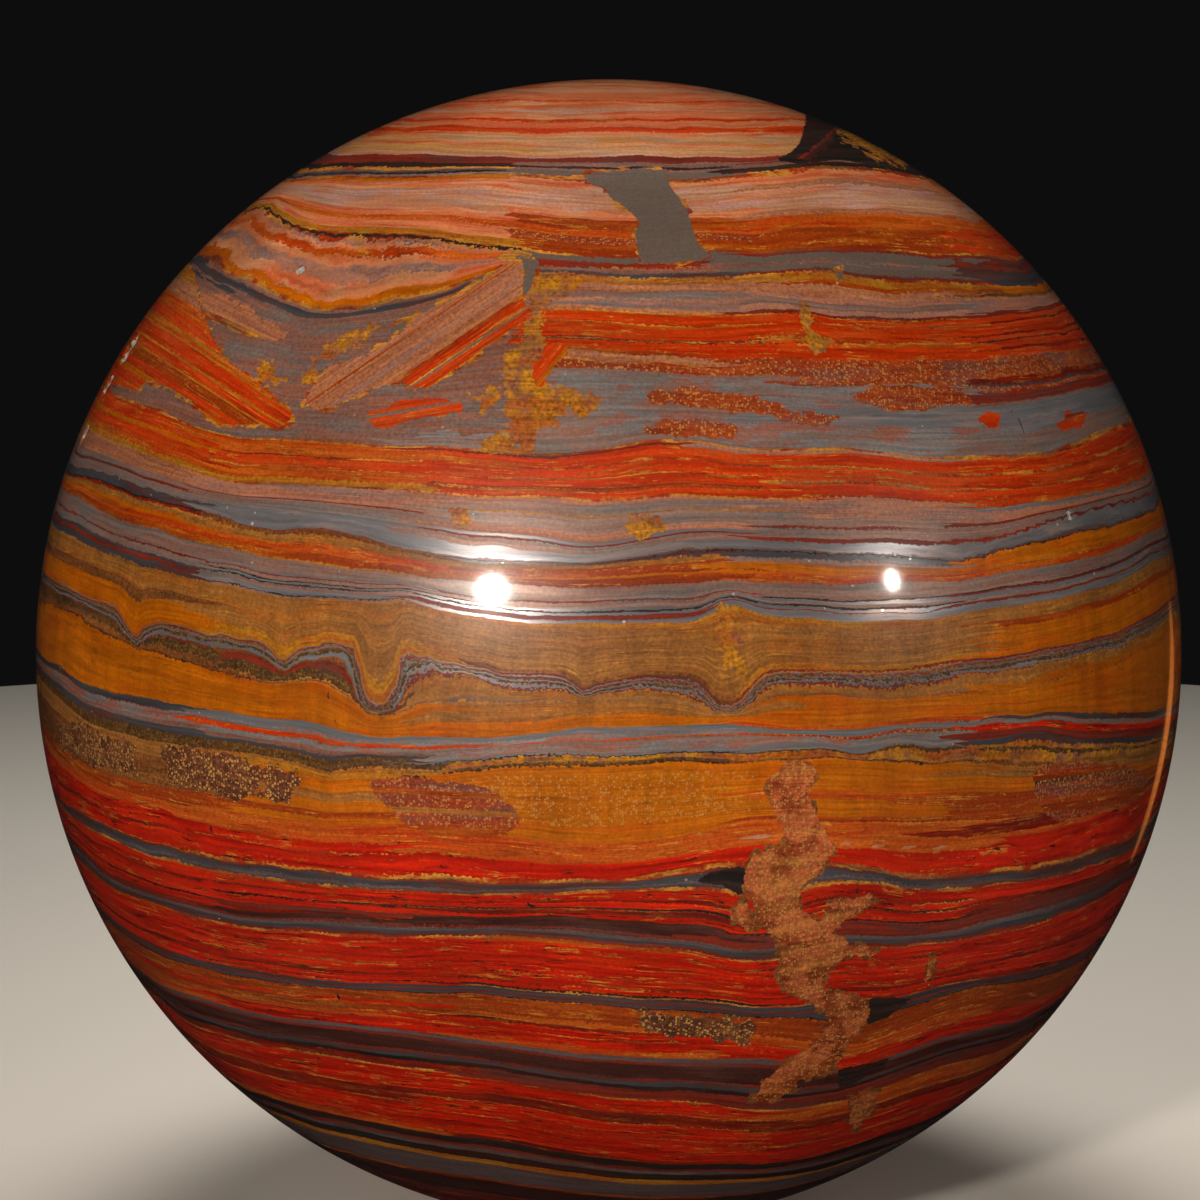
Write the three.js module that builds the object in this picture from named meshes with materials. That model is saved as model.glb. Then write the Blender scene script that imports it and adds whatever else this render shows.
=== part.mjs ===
// A polished sphere of tiger iron, cut and ground from one piece of banded rock.
// Millimetres, +Z up. The origin is on the table, under the middle of the sphere.
import * as THREE from "three";

// The driving dimensions
const diameter = 100; // the ball, from side to side
const restFlatDiameter = 10; // the small flat ground under it, which it stands on
const segmentsAround = 72; // faces round the upright axis, which stand for the round surface
const segmentsBelow = 18; // faces from the flat's rim up to the widest place
const segmentsAbove = 18; // and from there to the top

const radius = diameter / 2;
const restFlatRadius = restFlatDiameter / 2;
// The flat cuts the ball off this far below its centre, so the centre stands this high
const centreHeight = Math.sqrt(radius ** 2 - restFlatRadius ** 2);

// A stretch of the ball's outline, in radius and height, between two angles from straight down.
// It leaves out its last point, which the next stretch starts with.
function arc(from, to, segments) {
  return Array.from({ length: segments }, (_, i) => {
    const angle = from + ((to - from) * i) / segments;
    return new THREE.Vector2(
      radius * Math.sin(angle),
      centreHeight - radius * Math.cos(angle),
    );
  });
}

// Half of the outline: the middle of the flat, its rim, the widest place and the top
function outline() {
  const rimAngle = Math.asin(restFlatRadius / radius);
  const widestAngle = Math.PI / 2;
  return [
    new THREE.Vector2(0, 0),
    new THREE.Vector2(restFlatRadius, 0),
    ...arc(rimAngle, widestAngle, segmentsBelow).slice(1),
    ...arc(widestAngle, Math.PI, segmentsAbove),
    new THREE.Vector2(0, centreHeight + radius),
  ];
}

// LatheGeometry turns its outline about +Y, so the ball is made there and then stood up on +Z
function tigerIronSphere() {
  const geometry = new THREE.LatheGeometry(outline(), segmentsAround);
  geometry.rotateX(Math.PI / 2);
  const polishedStone = new THREE.MeshStandardMaterial({
    color: "#8a2f14",
    roughness: 0.12,
    metalness: 0.15,
  });
  const mesh = new THREE.Mesh(geometry, polishedStone);
  mesh.name = "tiger_iron_sphere";
  return mesh;
}

const part = new THREE.Group();
part.add(tigerIronSphere());

export default part;
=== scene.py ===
import math

import bmesh
import bpy
import numpy as np
from mathutils import Matrix, Vector


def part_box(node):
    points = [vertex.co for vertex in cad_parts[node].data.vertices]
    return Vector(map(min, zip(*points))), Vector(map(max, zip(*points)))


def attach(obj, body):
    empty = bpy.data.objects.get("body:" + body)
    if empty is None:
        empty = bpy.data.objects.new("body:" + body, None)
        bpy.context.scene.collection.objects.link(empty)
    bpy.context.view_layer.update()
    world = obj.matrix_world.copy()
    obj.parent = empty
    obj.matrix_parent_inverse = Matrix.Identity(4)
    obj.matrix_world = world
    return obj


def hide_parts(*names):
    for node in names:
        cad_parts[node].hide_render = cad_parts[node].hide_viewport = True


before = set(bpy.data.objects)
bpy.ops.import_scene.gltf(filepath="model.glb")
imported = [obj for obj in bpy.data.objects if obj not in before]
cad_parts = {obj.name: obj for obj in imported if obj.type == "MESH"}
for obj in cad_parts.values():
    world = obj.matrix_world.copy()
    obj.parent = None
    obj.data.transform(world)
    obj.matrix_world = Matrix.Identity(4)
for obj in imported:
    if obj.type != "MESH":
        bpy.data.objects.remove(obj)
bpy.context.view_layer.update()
print("frame loaded")

# Everything is worked out in millimetres from the table under the ball, and turned into metres for Blender
mm = 0.001

low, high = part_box("tiger_iron_sphere")
ball = {
    "radius": (high.x - low.x) / 2 / mm,
    "cells": 122,  # mesh cells along each side of the cube that is blown up into the ball
}
radius = ball["radius"]
centreHeight = high.z / mm - radius
centre = np.array([0, 0, centreHeight])

# How the photograph looks at the ball
photo = {
    "size": 1200,  # pixels, both ways
    "focal": 2900,  # pixels, which is an 87 mm lens on a 36 mm sensor
    "sensor": 36,  # mm
    "distance": 258,  # mm from the camera to the ball's centre
    "elevation": 9.5,  # degrees that the camera looks down by
    "ballX": 608.4,  # the pixel where the ball's centre is
    "ballY": 650.3,
    "outlineGrowth": 1.0195,  # how much larger a mm looks at the ball's outline than at its centre
}
halfImage = photo["size"] / 2
pitch = math.radians(90 - photo["elevation"]) + math.atan((photo["ballY"] - halfImage) / photo["focal"])
yaw = math.atan((photo["ballX"] - halfImage) / photo["focal"])
cameraTurn = Matrix.Rotation(pitch, 3, "X") @ Matrix.Rotation(yaw, 3, "Y")
cameraAxes = np.array(cameraTurn)
elevation = math.radians(photo["elevation"])
lookDirection = np.array([0, math.cos(elevation), -math.sin(elevation)])
cameraPlace = centre - lookDirection * photo["distance"]
outlineAngle = math.acos(radius / photo["distance"])  # from the view axis to the ball's outline
pixelsPerMm = photo["focal"] / photo["distance"] * photo["outlineGrowth"]


# The ball's outward directions at these pixels; a pixel off the ball gives its outline
def fromPhoto(pixels):
    pixels = np.atleast_2d(np.array(pixels, float))
    across = (pixels[:, 0] - halfImage) / photo["focal"]
    up = (halfImage - pixels[:, 1]) / photo["focal"]
    rays = np.stack([across, up, -np.ones_like(up)], 1) @ cameraAxes.T
    rays /= np.linalg.norm(rays, axis=1, keepdims=True)
    sideways = rays - np.outer(rays @ lookDirection, lookDirection)
    sine = np.linalg.norm(sideways, axis=1)
    sideways /= np.maximum(sine, 1e-9)[:, None]
    angle = np.arcsin(np.clip(sine * photo["distance"] / radius, 0, 1)) - np.arcsin(sine)
    return sideways * np.sin(angle)[:, None] - np.outer(np.cos(angle), lookDirection)


# The pixels of these directions; the far side is counted on outwards from the ball's outline
def onPhoto(directions):
    facing = -(directions @ lookDirection)
    angle = np.arccos(np.clip(facing, -1, 1))
    sideways = directions + np.outer(facing, lookDirection)
    sideways /= np.maximum(np.linalg.norm(sideways, axis=1), 1e-9)[:, None]
    seen = np.minimum(angle, outlineAngle)
    surface = sideways * np.sin(seen)[:, None] - np.outer(np.cos(seen), lookDirection)
    fromCamera = (surface * radius + lookDirection * photo["distance"]) @ cameraAxes
    x = halfImage - fromCamera[:, 0] / fromCamera[:, 2] * photo["focal"]
    y = halfImage + fromCamera[:, 1] / fromCamera[:, 2] * photo["focal"]
    beyond = (angle - seen) * radius * pixelsPerMm
    away = np.stack([x - photo["ballX"], y - photo["ballY"]], 1)
    away /= np.maximum(np.linalg.norm(away, axis=1), 1e-9)[:, None]
    return np.stack([x, y], 1) + away * beyond[:, None]


def pixelList(text):
    return np.array([pair.split(",") for pair in text.split()], float)


# A list of beds, such as "gold 3, buff 20", as names and thicknesses
def bedList(text):
    pairs = [bed.split() for bed in text.split(",")]
    return [(name, float(share)) for name, share in pairs]


# The minerals: ground colour, the colour of its laminae, and that of its longer bands and clouds, and how
# much each has of every kind of detail
plain = {
    "streak": 0.7,  # laminae or blotches of the second colour
    "blotch": 0.0,  # 0 laminae, 1 blotches
    "round": 0.0,  # 0 blotches drawn out along the bed, 1 round ones
    "accent": 0.7,  # bands and clouds of the third colour
    "grain": 0.2,  # fine dark and light grains
    "gold": 0.0,  # broken golden threads
    "dark": 0.0,  # broken dark threads
    "specks": 0.0,  # pale specks
    "paintedGlint": 0.0,  # painted glints: near-white dots that stand in for light shining off single crystal faces
    "metal": 0.0,
    "rough": 0.36,
    "fibreSheen": 0.0,  # fibre streaks across the bed, lighter and darker: partly tiger eye's own fibres, partly a painted sheen
}
minerals = {
    "red": ("#c43a08", "#9c2002", "#bc5018", {"gold": 0.35, "dark": 0.2, "accent": 0.5}),
    "sand": ("#b8824e", "#b4743a", "#b08a6c", {"streak": 0.8, "gold": 0.2}),
    "deep": ("#c81e00", "#920e00", "#bc3000", {"gold": 0.35, "dark": 0.45, "streak": 0.85, "accent": 0.4}),
    "darkRed": ("#741a0a", "#982206", "#54201a", {"gold": 0.2, "dark": 0.3}),
    "orangeRed": ("#b0440c", "#bc601a", "#a82c08", {"gold": 0.4, "dark": 0.2, "grain": 0.3}),
    "orange": ("#b86204", "#a85404", "#b85002", {"dark": 0.15, "fibreSheen": 0.4}),
    "gold": ("#b0741c", "#985414", "#a4501a", {"dark": 0.2, "grain": 0.35, "blotch": 0.5, "fibreSheen": 0.3}),
    "thread": ("#bc7c2c", "#96300c", "#704030", {"streak": 1.0, "blotch": 1.0, "grain": 0.4}),
    # pale stone in the chips: partly crushed stone, partly a painted glint
    "crushedAndGlint": ("#d0ccc8", "#a49c94", "#b4a8a4", {"grain": 0.4}),
    "goldBrown": (
        "#9a642c",
        "#845026",
        "#a05a1c",
        {"gold": 0.3, "dark": 0.2, "grain": 0.3, "fibreSheen": 0.5, "specks": 0.1},
    ),
    "brown": ("#8a5428", "#543218", "#703c20", {"grain": 0.6, "blotch": 0.5}),
    "darkBrown": ("#60401f", "#3c2a1c", "#503828", {"grain": 0.6, "specks": 0.2, "blotch": 0.5}),
    "redBrown": ("#9c3c0c", "#7c2a0c", "#a85410", {"gold": 0.4, "grain": 0.3}),
    "salmon": ("#ca784c", "#c04a2a", "#c48a60", {"gold": 0.15, "streak": 0.8}),
    "buff": ("#b88664", "#b46446", "#b08a80", {"gold": 0.2, "streak": 0.8}),
    "pinkBrown": ("#ac6c4a", "#8a4c34", "#9a604e", {"grain": 0.4, "specks": 0.15, "gold": 0.25}),
    "mauve": ("#8e7268", "#86584a", "#74706e", {"metal": 0.2, "paintedGlint": 0.3}),
    "mauvePink": ("#a4705c", "#a8644a", "#7c6460", {"gold": 0.25, "grain": 0.3}),
    "matrix": ("#845e52", "#94563e", "#706864", {"metal": 0.2, "paintedGlint": 0.2, "grain": 0.3, "blotch": 0.7}),
    "steel": (
        "#8c8c90",
        "#706468",
        "#a08c86",
        {"metal": 0.5, "rough": 0.27, "paintedGlint": 0.7, "streak": 0.6, "grain": 0.05},
    ),
    "darkSteel": (
        "#56575c",
        "#44383a",
        "#6c3628",
        {"metal": 0.4, "rough": 0.3, "paintedGlint": 0.4, "grain": 0.05},
    ),
    "black": ("#2c2624", "#44302a", "#4c2218", {"metal": 0.3}),
    "maroon": ("#70281c", "#8c2c1a", "#5c3832", {"dark": 0.2}),
    "purple": ("#4e2a24", "#3e201c", "#5a3830", {"metal": 0.2}),
    "lilac": ("#6e5c5c", "#604c4c", "#5c4440", {"metal": 0.25}),
    "speckled": ("#5a3424", "#80502c", "#70402a", {"specks": 0.9, "grain": 0.6, "blotch": 1.0, "round": 1.0}),
    "copper": (
        "#ac5830",
        "#762c10",
        "#b47a38",
        {"specks": 0.6, "grain": 0.5, "blotch": 1.0, "round": 1.0, "streak": 0.9, "accent": 0.35},
    ),
    "speckGold": ("#b06204", "#a24e04", "#ac5404", {"specks": 0.5, "fibreSheen": 0.4}),
    "net": ("#908886", "#a04c30", "#98705f", {"metal": 0.4, "blotch": 1.0, "streak": 0.7, "paintedGlint": 0.5}),
    "mottled": ("#b0741c", "#84543c", "#9c4814", {"blotch": 1.0, "streak": 0.9, "grain": 0.65, "round": 1.0}),
    "redSpeck": (
        "#8c3418",
        "#9e461e",
        "#784a40",
        {"blotch": 0.8, "streak": 0.8, "grain": 0.4, "specks": 0.55},
    ),
    "channel": (
        "#76665c",
        "#665850",
        "#74584c",
        {"metal": 0.3, "paintedGlint": 0.3, "grain": 0.15, "streak": 0.15, "accent": 0.3, "blotch": 1.0},
    ),
}
mineralNames = list(minerals)
mineralShare = 1 / 32  # each mineral's own stretch of the scale from 0 to 1


def mineralCode(name):
    return (mineralNames.index(name) + 0.5) * mineralShare


def amount(name, detail):
    return minerals[name][3].get(detail, plain[detail])


# The beds from the top down. Each unit's top is a line along the bedding, followed on the photograph
# in pixels. Under it come the beds of the unit in five columns from left to right, A to E, as a geologist
# logs them: mineral and share of the unit. A column that isn't given is like the one before it.
beds = {
    "crown": {
        "A": """salmon .8, buff .3, salmon .5, red .12, salmon .5, buff .2, salmon .35, red .2, salmon .4,
            red .3, salmon .3, sand .35, salmon .15, sand .5, buff .2""",
    },
    "domeFoot": {
        "top": "330,153 400,154 460,155 520,158 560,158 600,157 640,155 680,158 720,157 760,158 793,155",
        "A": "maroon 7, black 4, thread 2, lilac 2, black 2, mauve 2",
        "C": "maroon 5, matrix 4, black 2, matrix 3, channel 5",
        "D": "maroon 6, matrix 3, black 4, thread 1.3",
        "E": "matrix 8, black 4",
    },
    "block": {
        "top": """300,180 330,176 400,176 440,174 480,173 520,174 560,176 600,178 663,180 700,178 760,172
            800,168 840,165 880,170 920,176 936,180""",
        "A": "thread 2, salmon 6, buff 14, salmon 10, orange 8, orangeRed 5, thread 2",
        "B": """thread 2, orange 3, salmon 8, buff 20, salmon 6, orangeRed 4, salmon 9, gold 5, thread 1.3,
            black 1.5""",
        "C": """thread 2.6, salmon 6, buff 18, salmon 6, redBrown 8, orangeRed 5, redSpeck 6, redBrown 8,
            thread 2""",
        "D": "thread 2, salmon 8, pinkBrown 6, buff 20, pinkBrown 5, orangeRed 12, redBrown 18, thread 2",
        "E": "gold 8, salmon 6, buff 20, orangeRed 8, red 22, thread 2",
    },
    "thirdBed": {
        "top": """268,206 280,216 300,228 330,233 400,236 440,239 480,244 520,250 560,254 600,258 637,260
            700,252 760,254 800,250 840,248 880,251 920,253 960,255 1000,258 1015,262""",
        "A": """black 1, thread 1.3, salmon 6, orangeRed 7, buff 7, salmon 12, redBrown 6, orange 8,
            thread 3.2""",
        "B": """black 1.2, thread 2, mauvePink 4, salmon 3, orangeRed 5, salmon 6, mauvePink 9, salmon 10,
            orange 6, thread 3.9""",
        "C": "channel 5, maroon 5, thread .7, matrix 4, darkSteel 3",
        "D": "maroon 2, channel 6, matrix 4, channel 5, maroon 2",
        "E": "maroon 10, darkSteel 12",
    },
    "fourthBed": {
        "top": """201,256 220,270 240,282 281,298 320,310 352,311 400,303 440,293 480,277 505,265 530,272
            560,273 600,277 640,279 680,277 720,275 760,276 800,271 830,268 845,273 880,277 920,281 960,283
            1000,285 1035,286""",
        "A": "darkSteel 10",
        "B": "matrix 2, darkSteel 5, matrix 5",
        "C": "thread 2.6, goldBrown 5, pinkBrown 8, thread 1.3",
        "D": "thread 2.6, gold 5, redBrown 4, pinkBrown 9",
        "E": "orange 12, brown 6, pinkBrown 4",
    },
    "granular": {
        "top": """190,268 210,283 240,299 270,312 300,324 340,322 400,313 440,303 480,290 520,284 540,290
            600,291 700,291 760,291 800,298 850,302 900,303 960,301 1000,299 1045,298""",
        "A": "matrix 1",
        "C": "mauve 6, mauvePink 5, mauve 3, pinkBrown 4, thread 1",
        "D": "mauvePink 3, mauve 5, mauvePink 4, maroon 2",
        "E": "mauvePink 10, maroon 4",
    },
    "brightBed": {
        "top": """180,283 240,315 300,335 400,328 470,310 540,309 600,309 640,314 680,315 760,314 800,312
            840,318 880,320 920,320 960,318 1000,316 1040,310 1062,303""",
        "A": "matrix 1",
        "C": "thread 1.3, red 9, thread 1.3, orangeRed 1.5, red 12",
        "D": "thread 1.3, red 5, thread 1.3, red 14, thread 1",
        "E": "red 5, darkRed 2, red 12, darkRed 2, red 4",
    },
    "wavyLine": {
        "top": """165,300 240,335 300,350 400,348 500,336 555,335 600,338 640,341 700,343 730,343 760,338
            800,334 840,340 880,343 960,343 1000,340 1040,335 1078,326""",
        "A": "matrix 1",
        "C": "maroon 1.2, thread 1.2, black 1, red 10, thread .7, redBrown 4",
        "D": "thread 1.3, orangeRed 4, red 12",
        "E": "black 1, red 7, darkRed 3, red 6",
    },
    "brightFoot": {
        "top": """150,320 240,355 300,368 400,366 500,352 570,348 600,352 640,355 680,358 720,360 760,358
            840,358 880,362 920,362 960,360 1000,358 1040,352 1092,344""",
        "A": "matrix 1",
        "C": "pinkBrown 8, thread 2, redSpeck 8, mauve 4",
        "D": "redSpeck 20",
        "E": "redSpeck 14, darkRed 6",
    },
    "netTop": {
        "top": """135,335 240,375 300,386 400,384 500,372 590,372 640,373 680,378 720,380 760,380 800,382
            880,380 940,382 1000,385 1040,382 1080,373 1105,366""",
        "A": "matrix 1",
        "C": "net 26",
        "D": "redSpeck 4, net 9, mauve 4, net 9",
        "E": "darkSteel 3, redSpeck 6, maroon 14, matrix 3",
    },
    "netFoot": {
        "top": """120,355 200,385 300,405 400,405 500,400 600,402 700,405 800,408 920,410 960,408 1000,405
            1040,400 1080,390 1115,380""",
        "A": "matrix 1",
        "C": "net 30, mauve 8",
        "D": "steel 14, net 22",
        "E": "steel 18, mauve 14",
    },
    "orangeBed": {
        "top": """104,380 120,393 140,402 160,410 180,418 200,427 220,433 260,438 300,440 340,441 400,445
            440,443 480,450 520,453 560,454 600,448 640,440 660,438 700,439 720,445 760,448 800,450 840,448
            880,452 920,456 960,458 1000,456 1040,450 1070,444 1100,430 1135,412""",
        "A": "thread 2.6, red 12, orange 4, red 10, orangeRed 6, gold 5, pinkBrown 6",
        "B": """thread 2, orangeRed 13, maroon 1, red 9, thread 1.3, orangeRed 10, gold 5, thread 2,
            mauvePink 4""",
        "C": """thread 2.6, maroon 3, red 12, thread 2, red 11, thread 2, red 9, maroon 1.5,
            redBrown 4, red 6, thread 2.4, mauvePink 3""",
        "D": "thread 2, mauvePink 3, red 11, thread 2, red 11, thread 2, red 10, thread 1.6, mauvePink 5",
        "E": "thread 4, red 12, thread 2, red 12, thread 2, red 10, orangeRed 5",
    },
    "mauveBed": {
        "top": """82,428 100,441 120,451 140,458 180,471 200,480 240,487 280,488 320,490 360,492 400,494
            480,500 540,501 600,503 640,503 680,501 720,501 860,501 900,505 960,508 1000,508 1040,503
            1080,497 1110,490 1146,478""",
        "A": "pinkBrown 8, mauve 5, maroon 2, mauve 6",
        "B": "mauvePink 9, maroon 1, mauve 8, steel 4",
        "C": "mauve 10, gold 1.5, mauve 14, mauvePink 8, steel 3, maroon 2, mauve 6",
        "D": "mauvePink 14, mauve 8, maroon 2, mauve 8, maroon 3",
        "E": "steel 3, mauvePink 7, maroon 2, mauve 7, maroon 1.5",
    },
    "steelBand": {
        "top": """72,461 100,470 120,475 160,490 180,496 200,501 240,506 280,511 320,516 360,521 400,529
            430,536 460,541 500,546 540,548 560,553 600,555 640,548 660,545 680,541 700,538 720,537 760,540
            800,541 960,541 1000,538 1020,531 1040,522 1080,512 1110,503 1150,490""",
        "A": "darkSteel 11, black 2",
        "B": "steel 12, maroon 1",
        "C": "steel 9, lilac 2, black 1",
    },
    "underSteel": {
        "top": """66,471 90,479 120,488 160,501 180,509 200,515 240,522 280,530 300,528 320,530 350,533
            380,540 400,546 430,553 460,560 500,562 540,562 600,563 640,560 680,555 720,552 760,552 800,553
            840,556 880,558 920,562 960,562 980,560 1000,553 1020,548 1060,540 1080,535 1120,525 1156,508""",
        "A": "darkRed 2, goldBrown 6, orange 4, orangeRed 6, redBrown 7",
        "B": "brown 3, goldBrown 6, orangeRed 8, redBrown 6, gold 2",
        "C": "darkSteel 2, goldBrown 4, redBrown 8, orange 2, redBrown 6, maroon 1",
        "D": "darkSteel 4, mauve 4, orange 8, orangeRed 8",
        "E": "orange 13, gold 2, orangeRed 8",
    },
    "laminated": {
        "top": """58,482 80,497 120,520 140,526 160,530 200,544 240,550 280,557 320,564 360,569 400,573
            430,576 470,582 540,587 600,587 640,586 680,584 720,581 760,582 800,584 840,585 880,583 920,581
            960,579 980,577 1000,571 1040,568 1080,560 1120,547 1150,532 1166,522""",
        "A": "mauve 14, maroon 1.5, mauve 7, darkSteel 3, maroon 4, darkSteel 6",
        "B": """mauve 14, steel 2, maroon 1, mauve 4, black 1, steel 3, black 1, mauve 5, steel 5, black 1,
            mauve 2""",
        "C": "mauve 12, maroon 1.5, mauve 6, steel 2.5, black 1.5, steel 2, maroon 5, steel 3",
        "D": "mauve 13, black 1.5, steel 3, mauve 3, black 1.5, steel 3, maroon 1, steel 6",
        "E": "mauve 12, black 1, maroon 2, steel 4, mauve 3, maroon 2, steel 7",
    },
    "goldBrownBed": {
        "top": """47,516 80,540 100,550 120,557 140,566 160,570 200,580 240,588 280,597 320,600 360,602
            385,602 400,597 420,602 440,610 480,618 520,622 600,621 640,622 705,622 712,612 718,603 726,600
            740,602 750,610 760,618 800,617 840,620 880,620 920,619 940,617 960,613 1000,606 1040,603
            1060,600 1080,592 1120,578 1150,562 1174,546""",
        "A": "goldBrown 14, brown 8, orange 18",
        "B": "goldBrown 34, gold 10",
        "C": "gold 4, goldBrown 44, brown 5, maroon 1.5",
        "D": "gold 7, goldBrown 36, gold 5, maroon 2, gold 1",
        "E": "goldBrown 12, redBrown 6, orange 26, maroon 2",
    },
    "kinkedLine": {
        "soft": 0.22,
        "top": """42,566 60,583 80,592 100,600 115,605 122,615 130,630 136,636 143,625 160,622 180,625
            200,631 212,636 220,632 240,639 252,637 262,642 270,647 277,658 284,661 290,652 297,651 302,644
            316,645 322,640 334,641 345,645 353,644 359,652 362,666 359,678 364,688 368,703 380,706 391,701
            393,688 398,678 396,662 400,651 408,649 414,656 428,655 440,662 456,662 468,669 484,668 500,674
            540,675 560,676
            570,679 578,687 584,693 590,689 600,685 620,681 640,677 660,677 690,679 705,684 712,698 718,707
            735,706 748,695 756,683 766,675 780,672 800,673 840,672 880,672 920,669 960,661 1000,658
            1040,651 1060,647 1080,645 1100,638 1130,628 1160,608 1177,594""",
        "A": "steel 1.3, maroon .7, brown 1.2, steel 1.1, darkBrown 1.6, steel 1.3",
    },
    "underKink": {
        "soft": 0.22,
        "top": """45,578 60,592 80,602 100,610 115,616 125,632 136,646 146,636 160,632 180,635 200,641
            240,647 260,651 272,660 284,671 294,662 304,654 320,652 330,650 345,655 353,662 351,676 356,692
            360,708 372,714 388,713 401,706 403,690 408,676 407,664 420,665 430,663 440,671 460,674 480,678
            500,683 540,684 566,688 584,702 598,694 620,690 640,686 690,688
            702,697 712,709 722,714 738,712 752,702 762,689 775,681 800,681 840,680 880,680 920,678 960,671
            1000,668 1040,662 1080,656 1100,649 1130,639 1160,620 1178,604""",
        "A": "maroon 2, darkBrown 8, brown 8, black 2",
        "B": "brown 6, maroon 6, darkBrown 12, gold 3, darkSteel 3",
        "C": "maroon 3, goldBrown 10, lilac 2",
        "D": "maroon 4, goldBrown 9, lilac 2",
        "E": "maroon 2, goldBrown 10, orange 6, brown 2",
    },
    "goldenBed": {
        "top": """40,600 50,605 80,616 100,629 120,640 140,646 160,653 180,661 200,667 220,673 240,679
            260,683 280,685 300,681 310,676 317,673 325,681 331,692 345,692 355,700 365,712 380,717 395,717
            405,712 420,699 440,700 460,702 540,701 600,700 640,698 680,702 700,711 720,718 740,716 755,706
            765,698 780,697 920,697 960,696 1000,692 1040,685 1080,675 1120,660 1150,645 1176,622""",
        "A": "orange 50",
        "C": "goldBrown 14, orange 12",
        "D": "orange 26",
        "E": "orange 32",
    },
    "greyRed": {
        "top": """37,652 60,668 80,680 100,688 120,693 140,697 160,702 180,704 200,708 220,711 240,715
            260,718 280,720 300,722 325,726 340,732 360,735 400,736 440,737 500,737 540,735 560,730 580,728
            640,726 700,724 720,720 757,718 765,725 800,726 840,728 860,725 880,722 905,722 920,718 940,716
            960,718 980,716 1000,712 1012,715 1022,718 1040,712 1060,710 1080,712 1120,714 1150,712
            1176,704""",
        "A": "darkSteel 6, net 9, matrix 5, darkSteel 8, darkBrown 6",
        "B": "steel 7, net 3, red 4, net 5, matrix 4, darkSteel 4, darkBrown 6",
        "C": "steel 6, net 5, red 1.2, mauve 4, net 8, steel 3, black 1.2",
        "D": "orangeRed 4, steel 5, redSpeck 3, net 5, steel 6",
        "E": "darkSteel 4, net 5, deep 6, maroon 7, darkSteel 4",
    },
    "granularLine": {
        "top": """40,672 60,695 80,712 100,722 120,728 140,734 160,739 200,743 240,749 280,756 300,759
            318,766 330,772 345,763 360,759 400,763 420,769 440,765 460,759 520,755 560,753 600,758 640,756
            680,752 760,752 780,746 820,746 850,753 865,758 880,748 900,741 920,743 940,748 960,746
            1000,742 1020,735 1040,733 1060,738 1080,742 1120,742 1150,740 1172,733""",
        "A": "darkBrown 4, goldBrown 4",
        "C": "mottled 5, darkBrown 3, black .7",
        "D": "darkBrown 2, mottled 7, darkBrown 2",
        "E": "mottled 4, darkBrown 3, mottled 9, brown 4",
    },
    "goldBody": {
        "top": """42,682 60,702 80,719 100,731 140,741 200,750 260,758 300,764 318,771 332,778 345,771
            360,769 400,774 440,775 470,772 500,768 580,766 620,765 660,762 760,760 800,762 830,759 860,760
            900,764 980,764 1000,766 1040,766 1080,761 1120,760 1150,756 1168,750""",
        "A": "goldBrown 12, brown 30, redBrown 14, orangeRed 10",
        "B": "gold 6, orange 12, goldBrown 8, orange 10, redBrown 6, orange 5, orangeRed 14",
        "C": "orange 8, speckGold 46, orange 15, orangeRed 12",
        "D": "orange 30, orangeRed 8, orange 16, redBrown 6, orangeRed 16",
        "E": "goldBrown 8, orange 12, redBrown 20, darkRed 10",
    },
    "redBed": {
        "top": """48,748 60,764 80,780 100,792 120,800 160,810 200,818 240,828 280,835 320,838 400,840
            440,841 480,845 520,849 560,853 600,857 640,855 680,848 700,843 720,839 760,835 800,834 840,840
            880,836 920,838 960,836 1000,832 1040,825 1080,815 1120,800 1152,783""",
        "A": "deep 14, darkRed 3, deep 12",
        "B": "orangeRed 2, deep 10, thread .7, deep 18, thread 1.3",
        "C": "orangeRed 7, deep 12, thread 2",
        "D": "orangeRed 9, deep 14, thread 2",
        "E": "orangeRed 5, deep 28, thread 2",
    },
    "greyLine": {
        "top": """58,796 80,811 100,821 120,831 140,837 160,842 200,851 240,859 280,866 320,871 360,874
            400,877 440,879 480,881 560,882 600,881 640,879 660,875 680,871 700,867 740,863 780,862 820,864
            860,869 880,870 900,874 940,876 960,875 1000,870 1040,865 1080,855 1100,850 1130,839
            1142,828""",
        "A": "thread 1.3, maroon 1, darkSteel 4, lilac 2, darkSteel 2",
    },
    "redUnderGrey": {
        "top": """62,806 80,822 100,833 120,843 140,851 160,857 200,867 240,873 280,880 320,886 400,890
            440,893 560,893 600,890 640,888 700,886 720,888 740,893 760,898 800,888 840,881 860,882 880,880
            900,886 940,888 980,886 1000,883 1040,878 1080,870 1120,855 1140,845""",
        "A": "thread 1.3, deep 8, darkRed 3, deep 10, black 1.5, deep 6, maroon 3",
        "B": "thread 2, deep 6, darkRed 2, deep 6, black 1.5, deep 6, maroon 4, darkRed 3, purple 4",
        "C": """thread 2, deep 6, darkRed 2, deep 4, black 1.5, thread .7, darkRed 4, deep 3, purple 10""",
        "D": """thread 2.6, deep 9, darkRed 3, thread .7, deep 6, black 1.5, thread .7, deep 8, black 1.5,
            maroon 10""",
        "E": "thread 1.3, deep 10, darkRed 5, maroon 8",
    },
    "purpleLine": {
        "top": """82,850 100,869 120,881 140,889 160,896 200,906 240,914 280,917 340,918 400,923 500,925
            560,927 600,930 640,934 680,937 700,940 740,948 780,944 820,936 860,932 900,934 940,931 960,926
            1000,914 1040,903 1080,893 1110,880 1130,868""",
        "A": "maroon 2, lilac 3, darkSteel 3, maroon 2",
    },
    "brightRedBed": {
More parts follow.
